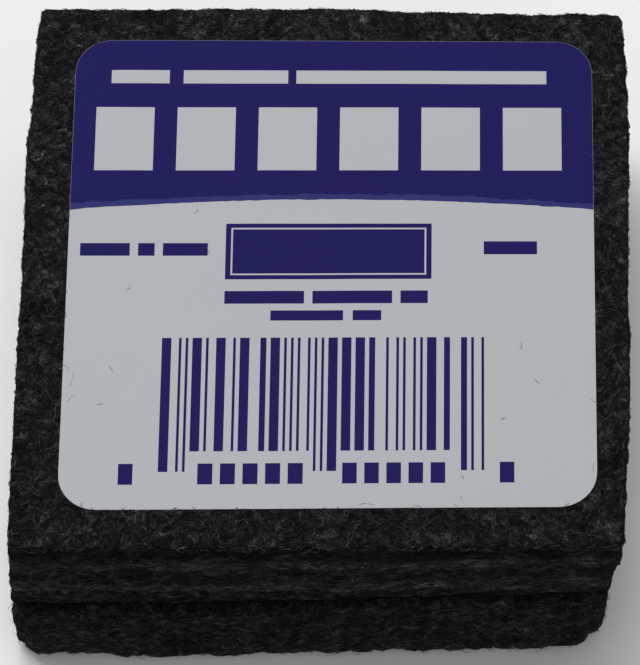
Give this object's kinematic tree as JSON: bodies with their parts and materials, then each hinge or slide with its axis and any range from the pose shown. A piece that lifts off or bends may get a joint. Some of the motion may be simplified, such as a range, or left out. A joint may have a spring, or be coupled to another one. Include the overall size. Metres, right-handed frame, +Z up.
{
  "type": "felt eraser",
  "caption": "Square felt block for wiping boards, in laminated pads with a paper label on the top face",
  "frame": {"origin": "centre of the block's underside, the wiping face", "axes": "+Z up from the wiping face to the label, +X to the right along the label's print lines, +Y towards the label's printed head band"},
  "size_m": [0.0508, 0.0508, 0.0223],
  "materials": {
    "felt_pressed": "needled felt, charcoal with light grey fibres",
    "felt_wiping": "open felt with a brushed nap, charcoal with light grey fibres",
    "label_paper": "coated paper, satin, with a navy printed head band"
  },
  "bodies": {
    "root": {"upper_pad": "felt_pressed", "lower_pad": "felt_wiping", "label": "label_paper"}
  },
  "joints": []
}
